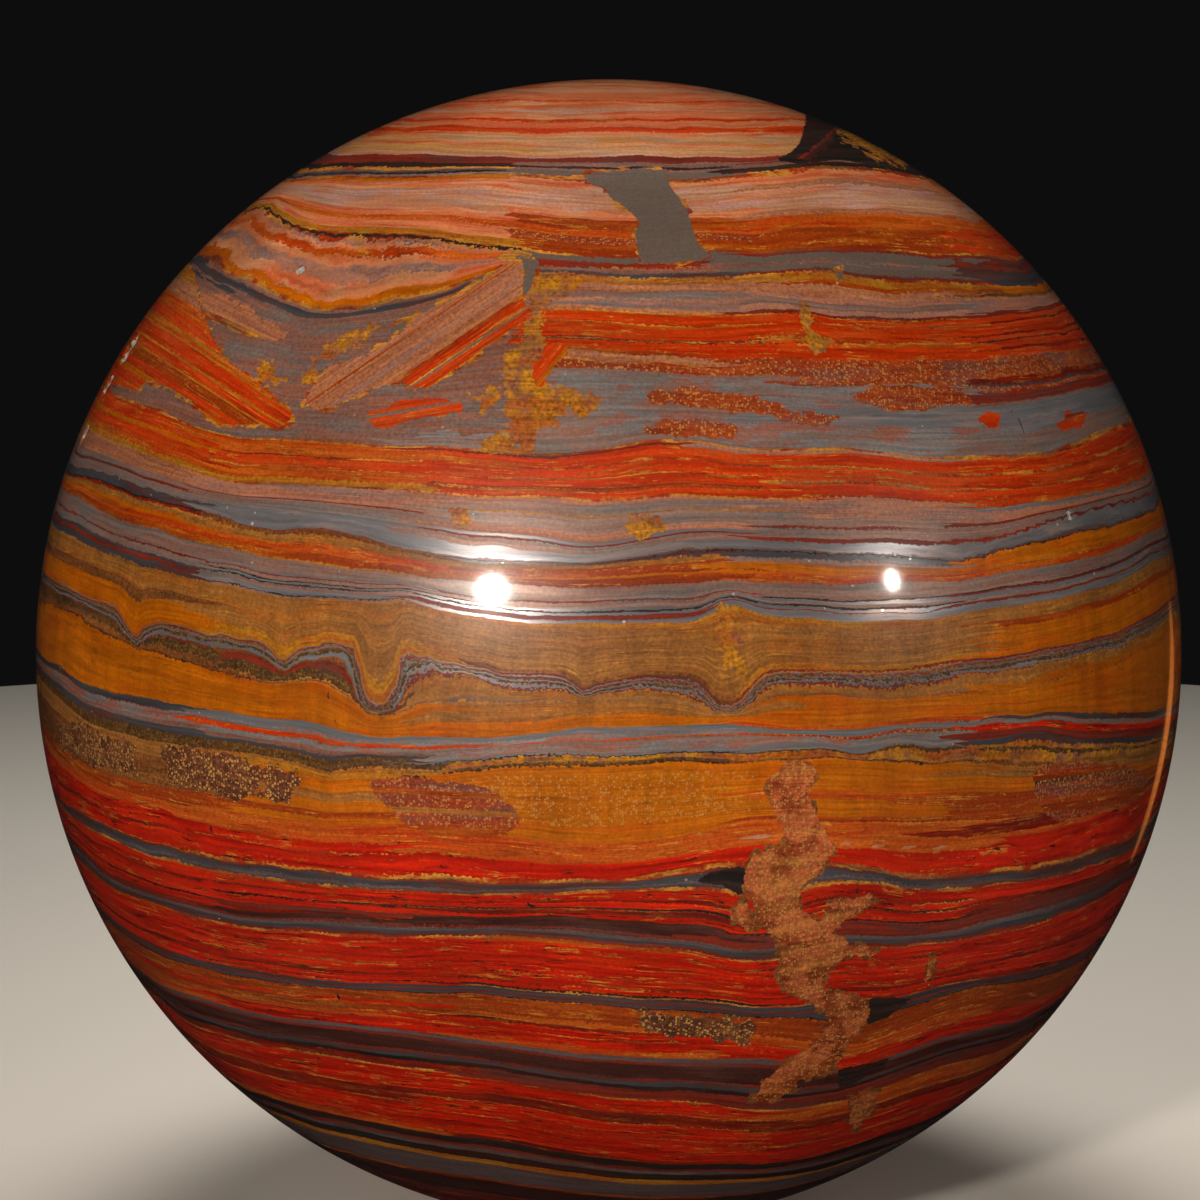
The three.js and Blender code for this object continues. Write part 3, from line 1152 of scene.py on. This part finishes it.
# The mineral's code at each depth, from the five columns
def bedMineral(tree, depth, column):
    turned = [
        add(tree, "Math", {0: column, 1: number + 0.5}, operation="GREATER_THAN")
        for number in range(len(columns) - 1)
    ]
    found = None
    for first, last in unitRuns():
        start, end = unitDepths[first], unitDepths[last]
        along = add(tree, "MapRange", {"Value": depth, "From Min": start, "From Max": end})
        here = None
        for number, letter in enumerate(columns):
            steps = columnSteps(letter, first, last)
            code = add(tree, "ValToRGB", {0: along}, stops=steps, blend="CONSTANT")
            here = add(tree, "Mix", {0: turned[number - 1], 2: here, 3: code}) if here else code
        if found:
            under = add(tree, "Math", {0: depth, 1: start}, operation="GREATER_THAN")
            found = add(tree, "Mix", {0: under, 2: found, 3: here})
        else:
            found = here
    return found


# The mineral's code in one group of fragments
def fragmentMineral(tree, place, rimmed):
    scale = fragmentScale(rimmed)
    whole = max(end for _, end in scale.values())
    steps = []
    for name, (start, end) in scale.items():
        for mineral, share in bedList(fragments[name]["beds"]):
            steps.append((start / whole, grey(mineralCode(mineral))))
            start += share / pixelsPerMm
    along = add(tree, "Math", {0: place, 1: whole}, operation="DIVIDE")
    return add(tree, "ValToRGB", {0: along}, stops=steps, blend="CONSTANT")


# How uneven the stone is. Scales are per mm, sizes in mm.
unevenness = {
    "rollScale": 0.16,  # slow rolling of the beds
    "roll": 0.45,
    "tongue": 0.6,  # long thin tongues of one bed in the next
    "grainScale": 4.0,  # the grainy edge of every bed
    "sharp": 0.2,  # its size where a bed ends sharply
    "diffuse": 0.75,  # and where it fades into the next
    "columnTongue": 2.0,  # columns by which the beds of one run on into the next
    "outlineScale": 0.7,
    "rimScale": 0.9,
}

# The noise that is drawn out along the bedding: its scales per mm along and across the bed, where it starts,
# its detail and its roughness
bedNoises = {
    "tongues": (0.16, 1.0, 3, 5, 0.7),
    "fade": (0.05, 0.35, 11, 2, 0.5),  # from beds that end sharply to beds that fade
    "columnTongues": (0.06, 1.1, 17, 3, 0.65),
    "laminae": (0.07, 2.4, 0, 4, 0.65),
    "blotches": (0.2, 0.75, 23, 4, 0.7),
    "accent": (0.11, 0.9, 41, 4, 0.7),
    "gold": (0.055, 1.6, 7.3, 4, 0.6),  # golden threads
    "dark": (0.055, 1.6, 31.7, 4, 0.6),
    "broken": (0.4, 0.8, 12, 3, 0.75),  # where the threads break off
    "fine": (0.12, 5.5, 53, 3, 0.6),  # fine laminae, lighter and darker
    "fibreSheen": (0.8, 0.1, 71, 2, 0.6),  # fibres across the bed, partly a painted sheen
}

# How ragged the outline of each kind of crossing body is, in mm, what fills it, and its broken rim, if any
outlines = {
    "speckled": (3.4, "speckled", None),
    "dark": (0.7, "black", None),
    "gold": (3.6, "mottled", None),
    "hematite": (0.9, "channel", "thread"),
    "flake": (1.8, None, None),
    "slab": (0.8, None, "thread"),
    "copper": (1.5, "copper", "brown"),
}


# One of these noises: x and y are the ball's own, "across" is the place in the bed
def bedNoise(tree, split, across, name):
    alongScale, acrossScale, shift, detail, roughness = bedNoises[name]
    x = add(tree, "Math", {0: split.outputs[0], 1: alongScale, 2: shift}, operation="MULTIPLY_ADD")
    y = add(tree, "Math", {0: split.outputs[1], 1: alongScale}, operation="MULTIPLY")
    z = add(tree, "Math", {0: across, 1: acrossScale}, operation="MULTIPLY")
    vector = add(tree, "CombineXYZ", {0: x, 1: y, 2: z})
    return add(tree, "TexNoise", {"Vector": vector, "Scale": 1.0, "Detail": detail, "Roughness": roughness})


# The depth at which each point reads the beds, rolled and drawn into tongues, and how far the grain moves it
def unevenDepth(tree, place, split, grain):
    depth = add(tree, "Attribute", output="Fac", attribute_name="depth")
    roll = add(tree, "TexNoise", {"Vector": place, "Scale": unevenness["rollScale"], "Detail": 1})
    tongues = bedNoise(tree, split, depth, "tongues")
    fade = bedNoise(tree, split, depth, "fade")
    sharp, diffuse = unevenness["sharp"], unevenness["diffuse"]
    fade = add(tree, "MapRange", {"Value": fade, "From Min": 0.45, "From Max": 0.7, 3: sharp, 4: diffuse})
    grainy = add(tree, "Math", {0: grain, 1: 0.5}, operation="SUBTRACT")
    grainy = add(tree, "Math", {0: grainy, 1: fade}, operation="MULTIPLY")
    for noise, size in ((roll, unevenness["roll"]), (tongues, unevenness["tongue"])):
        moved = add(tree, "Math", {0: noise, 1: size, 2: -size / 2}, operation="MULTIPLY_ADD")
        depth = add(tree, "Math", {0: depth, 1: moved}, operation="ADD")
    return depth, grainy


# The mineral's code after everything that crosses the beds, and the place in the bed that its laminae follow
def crossedMineral(tree, code, depth, place, grainy):
    raggedness = {"Vector": place, "Scale": unevenness["outlineScale"], "Detail": 4, "Roughness": 0.7}
    ragged = add(tree, "TexNoise", raggedness)
    rimWidth = add(tree, "TexNoise", {"Vector": place, "Scale": unevenness["rimScale"], "Detail": 2})
    rimWidth = add(tree, "MapRange", {"Value": rimWidth, "From Min": 0.42, "From Max": 0.62, "To Max": 0.4})
    along = depth
    for name, (swing, mineral, rimMineral) in outlines.items():
        attribute = add(tree, "Attribute", output="Fac", attribute_name=name)
        inside = add(tree, "Math", {0: ragged, 1: swing, 2: -swing / 2}, operation="MULTIPLY_ADD")
        inside = add(tree, "Math", {0: attribute, 1: inside}, operation="ADD")
        inside = add(tree, "Math", {0: inside, 1: grainy}, operation="ADD")
        if rimMineral:
            rim = add(tree, "Math", {0: inside, 1: rimWidth}, operation="ADD")
            rim = add(tree, "Math", {0: rim, 1: 0}, operation="GREATER_THAN")
            code = add(tree, "Mix", {0: rim, 2: code, 3: mineralCode(rimMineral)})
        mask = add(tree, "Math", {0: inside, 1: 0}, operation="GREATER_THAN")
        if mineral:
            filling = mineralCode(mineral)
        else:
            own = add(tree, "Attribute", output="Fac", attribute_name=name + "Depth")
            grainyOwn = add(tree, "Math", {0: own, 1: grainy}, operation="ADD")
            filling = fragmentMineral(tree, grainyOwn, name == "slab")
            along = add(tree, "Mix", {0: mask, 2: along, 3: own})
        code = add(tree, "Mix", {0: mask, 2: code, 3: filling})
    gap = None
    # chips are painted pale, partly as crushed stone and partly as a painted glint
    for name, mineral in (("healed", "buff"), ("chipped", "crushedAndGlint"), ("cracked", "black")):
        line = add(tree, "Attribute", output="Fac", attribute_name=name)
        line = add(tree, "Math", {0: grainy, 1: 0.3, 2: line}, operation="MULTIPLY_ADD")
        gap = add(tree, "Math", {0: line, 1: 0}, operation="GREATER_THAN")
        code = add(tree, "Mix", {0: gap, 2: code, 3: mineralCode(mineral)})
    return code, along, gap


# A mineral's own colours and amounts, looked up by its code
def mineralDetails(tree, code):
    shades = []
    for number in range(3):
        steps = [(i * mineralShare, linear(minerals[n][number])) for i, n in enumerate(mineralNames)]
        shades.append(add(tree, "ValToRGB", {0: code}, stops=steps, blend="CONSTANT"))
    has = {}
    details = list(plain)
    for first in range(0, len(details), 3):
        three = details[first : first + 3]
        steps = [
            (i * mineralShare, (*[amount(n, detail) for detail in three], 1))
            for i, n in enumerate(mineralNames)
        ]
        packed = add(tree, "ValToRGB", {0: code}, stops=steps, blend="CONSTANT")
        parts = add(tree, "SeparateColor", {0: packed}).node
        for number, detail in enumerate(three):
            has[detail] = parts.outputs[number]
    return shades, has


# Broken threads, golden and dark
threads = {"gold": "#c4802c", "dark": "#30140e"}


def layThreads(tree, colour, has, split, along, grain):
    broken = bedNoise(tree, split, along, "broken")
    broken = add(tree, "Math", {0: grain, 1: 0.25, 2: broken}, operation="MULTIPLY_ADD")
    broken = add(tree, "MapRange", {"Value": broken, "From Min": 0.6, "From Max": 0.68})
    for detail, shade in threads.items():
        level = bedNoise(tree, split, along, detail)
        level = add(tree, "Math", {0: level, 1: 0.5}, operation="SUBTRACT")
        level = add(tree, "Math", {0: level}, operation="ABSOLUTE")
        thread = add(tree, "MapRange", {"Value": level, "From Min": 0.016, "From Max": 0.005})
        thread = add(tree, "Math", {0: thread, 1: broken}, operation="MULTIPLY")
        strength = add(tree, "Math", {0: has[detail], 1: 2.2}, operation="MULTIPLY", use_clamp=True)
        thread = add(tree, "Math", {0: thread, 1: strength}, operation="MULTIPLY")
        colour = add(tree, "Mix", {0: thread, 6: colour, 7: linear(shade)}, output=2, data_type="RGBA")
    return colour


# Pale specks, and painted glints: near-white dots that stand in for single crystal faces shining in the
# lamps' light.
# For each: cells to the mm, the widest speck as a share of its cell, the share of the cells that has one, and
# the colour
specks = {
    "specks": (5.0, 0.62, 0.75, "#c89450"),
    # painted glints: near-white dots in the colour, standing in for light off crystal faces
    "paintedGlint": (0.9, 0.12, 0.5, "#ece6e0"),
}


def laySpecksAndGlints(tree, colour, has, place):
    for detail, (scale, size, chosen, shade) in specks.items():
        cells = add(tree, "TexVoronoi", {"Vector": place, "Scale": scale}).node
        lot = add(tree, "SeparateColor", {0: cells.outputs["Color"]})
        limit = add(tree, "Math", {0: lot, 1: -size / chosen, 2: size}, operation="MULTIPLY_ADD")
        dot = add(tree, "Math", {0: cells.outputs["Distance"], 1: limit}, operation="LESS_THAN")
        dot = add(tree, "Math", {0: dot, 1: has[detail]}, operation="MULTIPLY")
        colour = add(tree, "Mix", {0: dot, 6: colour, 7: linear(shade)}, output=2, data_type="RGBA")
    return colour


polish = {
    "roughness": 0.065,
    "ior": 1.55,
    "grainRelief": 0.004,  # a grain's relief as a share of a crack's depth
    "reliefStrength": 0.4,
    "crackDepth": 0.0001,  # m
}


# Tiger iron is quartz, tiger eye and hematite grown together and cut through; it takes a glassy polish, so
# what the eye sees is a deep, saturated colour under one even, hard gloss
def tigerIron():
    material = bpy.data.materials.new("polished tiger iron")
    material.use_nodes = True
    tree = material.node_tree
    tree.nodes.clear()
    place = add(tree, "TexCoord", output="Object")
    place = add(tree, "VectorMath", {0: place, "Scale": 1 / mm}, operation="SCALE")
    split = add(tree, "SeparateXYZ", {0: place}).node
    grain = add(tree, "TexNoise", {"Vector": place, "Scale": unevenness["grainScale"], "Detail": 3})
    depth, grainy = unevenDepth(tree, place, split, grain)

    # One column's beds run on into the next in tongues
    column = add(tree, "Attribute", output="Fac", attribute_name="column")
    tongues = bedNoise(tree, split, depth, "columnTongues")
    wedge = unevenness["columnTongue"]
    tongues = add(tree, "Math", {0: tongues, 1: wedge, 2: -wedge / 2}, operation="MULTIPLY_ADD")
    column = add(tree, "Math", {0: column, 1: tongues}, operation="ADD")
    grainyDepth = add(tree, "Math", {0: depth, 1: grainy}, operation="ADD")
    code = bedMineral(tree, grainyDepth, column)
    code, along, cracked = crossedMineral(tree, code, depth, place, grainy)
    (colour, streakColour, accentColour), has = mineralDetails(tree, code)

    # Laminae along the bed, blotches drawn out along it, or round blotches
    laminae = bedNoise(tree, split, along, "laminae")
    laminae = add(tree, "MapRange", {"Value": laminae, "From Min": 0.4, "From Max": 0.62})
    drawn = bedNoise(tree, split, along, "blotches")
    rounded = add(tree, "TexNoise", {"Vector": place, "Scale": 0.5, "Detail": 4, "Roughness": 0.75})
    blotches = add(tree, "Mix", {0: has["round"], 2: drawn, 3: rounded})
    blotches = add(tree, "MapRange", {"Value": blotches, "From Min": 0.47, "From Max": 0.56})
    streak = add(tree, "Mix", {0: has["blotch"], 2: laminae, 3: blotches})
    streak = add(tree, "Math", {0: streak, 1: has["streak"]}, operation="MULTIPLY")
    colour = add(tree, "Mix", {0: streak, 6: colour, 7: streakColour}, output=2, data_type="RGBA")

    # Longer bands and clouds of a third colour
    accent = bedNoise(tree, split, along, "accent")
    accent = add(tree, "MapRange", {"Value": accent, "From Min": 0.5, "From Max": 0.6})
    accent = add(tree, "Math", {0: accent, 1: has["accent"]}, operation="MULTIPLY")
    colour = add(tree, "Mix", {0: accent, 6: colour, 7: accentColour}, output=2, data_type="RGBA")
    colour = layThreads(tree, colour, has, split, along, grain)

    # Grain, fine laminae, a slow change of tone, and fibres whose lighter and darker streaks are partly a
    # painted sheen
    relief = add(tree, "MapRange", {"Value": grain, "From Min": 0.3, "From Max": 0.7, 3: -0.8, 4: 0.8})
    bright = add(tree, "Math", {0: relief, 1: has["grain"], 2: 1.0}, operation="MULTIPLY_ADD")
    fine = bedNoise(tree, split, along, "fine")
    fine = add(tree, "MapRange", {"Value": fine, "From Min": 0.3, "From Max": 0.7, 3: -0.38, 4: 0.38})
    fine = add(tree, "Math", {0: fine, 1: has["streak"], 2: 1.0}, operation="MULTIPLY_ADD")
    tone = add(tree, "TexNoise", {"Vector": place, "Scale": 0.07, "Detail": 1})
    tone = add(tree, "MapRange", {"Value": tone, "From Min": 0.3, "From Max": 0.7, 3: 0.86, 4: 1.14})
    fibreSheen = bedNoise(tree, split, along, "fibreSheen")
    fibreSheen = add(tree, "MapRange", {"Value": fibreSheen, "From Min": 0.3, "From Max": 0.7, 3: -0.35, 4: 0.35})
    fibreSheen = add(tree, "Math", {0: fibreSheen, 1: has["fibreSheen"], 2: 1.0}, operation="MULTIPLY_ADD")
    for factor in (fine, tone, fibreSheen):
        bright = add(tree, "Math", {0: bright, 1: factor}, operation="MULTIPLY")
    colour = add(tree, "VectorMath", {0: colour, "Scale": bright}, operation="SCALE")
    # pale specks, and the painted glints of crystal faces
    colour = laySpecksAndGlints(tree, colour, has, place)

    # Hematite is metal, except where a streak of quartz lies in it
    quartz = add(tree, "Math", {0: streak, 1: -0.7, 2: 1.0}, operation="MULTIPLY_ADD")
    metal = add(tree, "Math", {0: has["metal"], 1: quartz}, operation="MULTIPLY")

    # Softer grains polish a little deeper, and cracks are open
    height = add(tree, "Math", {0: relief, 1: polish["grainRelief"], 2: 1.0}, operation="MULTIPLY_ADD")
    height = add(tree, "Math", {0: height, 1: cracked}, operation="SUBTRACT")
    bump = {"Height": height, "Strength": polish["reliefStrength"], "Distance": polish["crackDepth"]}
    normal = add(tree, "Bump", bump)

    surface = {
        "Base Color": colour,
        "Metallic": metal,
        "Roughness": has["rough"],
        "Normal": normal,
        "Coat Normal": normal,
        "IOR": polish["ior"],
        "Specular IOR Level": 0.2,
        "Coat Weight": 1.0,
        "Coat Roughness": polish["roughness"],
        "Coat IOR": polish["ior"],
    }
    shader = add(tree, "BsdfPrincipled", surface)
    add(tree, "OutputMaterial", {0: shader})
    return material


def makeCamera():
    data = bpy.data.cameras.new("photoCamera")
    data.sensor_width = photo["sensor"]
    data.lens = photo["focal"] / photo["size"] * photo["sensor"]
    data.clip_start = 0.01
    camera = bpy.data.objects.new("photoCamera", data)
    camera.matrix_world = Matrix.Translation(Vector(cameraPlace * mm)) @ cameraTurn.to_4x4()
    bpy.context.scene.collection.objects.link(camera)
    bpy.context.scene.camera = camera


# The lamps whose reflections the ball shows: the pixel where each is seen, how far off it is, and how wide
# and high, in mm
mirroredLamps = {
    "key": {"seenAt": (492, 590), "away": 500, "size": (46, 40), "watts": 0.036, "colour": "#fff4e6"},
    "second": {"seenAt": (892, 580), "away": 500, "size": (11, 20), "watts": 0.0085, "colour": "#fff4e6"},
    "warmEdge": {"seenAt": (1166, 735), "away": 500, "size": (44, 150), "watts": 0.0003, "colour": "#e8843a"},
}
# Soft light that lifts the shadows and leaves no reflection of its own
softLamps = {
    "front": {"at": (-130, -620, 280), "size": (420, 420), "watts": 0.06},
    "overhead": {"at": (-20, 250, 580), "size": (400, 400), "watts": 0.36},
    "behindLeft": {"at": (-500, 450, 350), "size": (400, 400), "watts": 0.05},
    "behindRight": {"at": (500, 450, 350), "size": (400, 400), "watts": 0.05},
}
softColour = "#fff8f0"
mirroredSpread = 24  # degrees
softSpread = 50


def addLamp(name, place, outward, size, watts, colour, spread):
    data = bpy.data.lights.new(name, "AREA")
    data.shape = "ELLIPSE"
    data.size, data.size_y = size[0] * mm, size[1] * mm
    data.energy = watts
    data.color = linear(colour)[:3]
    data.spread = math.radians(spread)
    lamp = bpy.data.objects.new(name, data)
    turn = Vector(outward).to_track_quat("Z", "Y").to_matrix().to_4x4()
    lamp.matrix_world = Matrix.Translation(Vector(place) * mm) @ turn
    lamp.visible_camera = False
    bpy.context.scene.collection.objects.link(lamp)
    return lamp


def makeLamps():
    for name, lamp in mirroredLamps.items():
        outward = fromPhoto(lamp["seenAt"])[0]
        surface = centre + outward * radius
        toCamera = cameraPlace - surface
        toCamera /= np.linalg.norm(toCamera)
        mirrored = 2 * outward.dot(toCamera) * outward - toCamera
        place = surface + mirrored * lamp["away"]
        addLamp(name, place, mirrored, lamp["size"], lamp["watts"], lamp["colour"], mirroredSpread)
    for name, lamp in softLamps.items():
        outward = np.array(lamp["at"]) - centre
        soft = addLamp(name, lamp["at"], outward, lamp["size"], lamp["watts"], softColour, softSpread)
        soft.visible_glossy = False


studio = {
    "floorWidth": 560,  # mm
    "floorColour": "#d9d5cc",
    "around": "#0d0d0d",
    "aroundStrength": 1.0,
}


def makeStudio():
    bm = bmesh.new()
    bmesh.ops.create_circle(bm, cap_ends=True, segments=96, radius=studio["floorWidth"] / 2 * mm)
    mesh = bpy.data.meshes.new("floor")
    bm.to_mesh(mesh)
    bm.free()
    floor = bpy.data.objects.new("floor", mesh)
    bpy.context.scene.collection.objects.link(floor)
    material = bpy.data.materials.new("matt paper floor")
    material.use_nodes = True
    tree = material.node_tree
    tree.nodes.clear()
    paper = {"Base Color": linear(studio["floorColour"]), "Roughness": 0.9}
    add(tree, "OutputMaterial", {0: add(tree, "BsdfPrincipled", paper)})
    mesh.materials.append(material)
    floor.visible_glossy = False  # the ball mirrors the dark room, as in the photograph
    world = bpy.data.worlds.new("dimRoom")
    world.use_nodes = True
    world.node_tree.nodes.clear()
    tree = world.node_tree
    light = {"Color": linear(studio["around"]), "Strength": studio["aroundStrength"]}
    add(tree, "OutputWorld", {0: add(tree, "Background", light)})
    bpy.context.scene.world = world
    bpy.context.scene.view_settings.view_transform = "Standard"


makeCamera()
print("camera placed")
piece = makeBall()
print("ball shaped:", len(piece.data.polygons), "faces")
piece.data.materials.append(tigerIron())
print("stone made")
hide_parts("tiger_iron_sphere")
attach(piece, "root")
makeLamps()
makeStudio()
print("studio lit")

bpy.context.view_layer.update()
